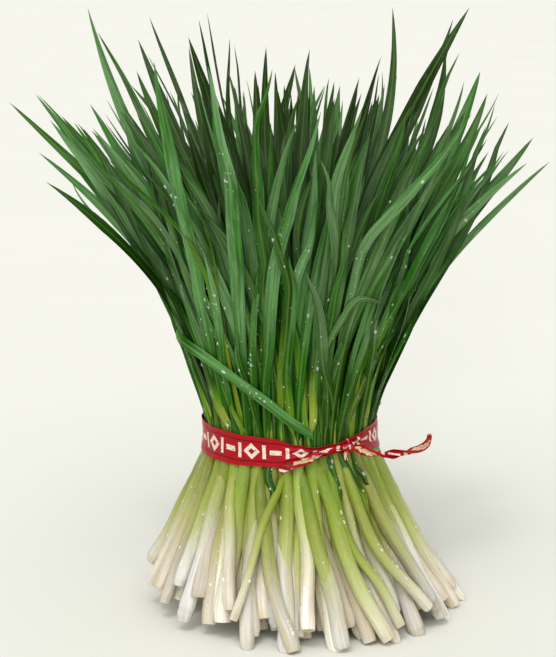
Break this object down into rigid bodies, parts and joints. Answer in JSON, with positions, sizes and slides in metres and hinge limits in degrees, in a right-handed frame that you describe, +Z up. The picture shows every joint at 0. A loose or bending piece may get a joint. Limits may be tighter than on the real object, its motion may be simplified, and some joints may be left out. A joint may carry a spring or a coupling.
{
  "type": "spring onion bunch",
  "caption": "Upright bunch of slim spring onions: flat keeled green leaves fanning out above, pale cut stems splayed below, and red tape tied round the waist.",
  "frame": {"origin": "cut end of the middle stem, on the table", "axes": "+Z up along the bunch from its cut ends to its leaf tips, -Y towards the front, where the tape's twisted cord and knot are, +X towards the tape's loose end"},
  "size_m": [0.279, 0.2621, 0.322],
  "materials": {
    "stem": "satin",
    "leaf": "satin",
    "tape": "satin"
  },
  "bodies": {
    "root": {"stems_centre": "stem", "leaves_centre": "leaf", "stems_inner_01": "stem", "leaves_inner_01": "leaf", "stems_inner_02": "stem", "leaves_inner_02": "leaf", "stems_inner_03": "stem", "leaves_inner_03": "leaf", "stems_inner_04": "stem", "leaves_inner_04": "leaf", "stems_outer_01": "stem", "leaves_outer_01": "leaf", "stems_outer_02": "stem", "leaves_outer_02": "leaf", "stems_outer_03": "stem", "leaves_outer_03": "leaf", "stems_outer_04": "stem", "leaves_outer_04": "leaf", "stems_outer_05": "stem", "leaves_outer_05": "leaf", "stems_outer_06": "stem", "leaves_outer_06": "leaf", "stems_outer_07": "stem", "leaves_outer_07": "leaf", "stems_outer_08": "stem", "leaves_outer_08": "leaf", "tie": "tape"}
  },
  "joints": []
}
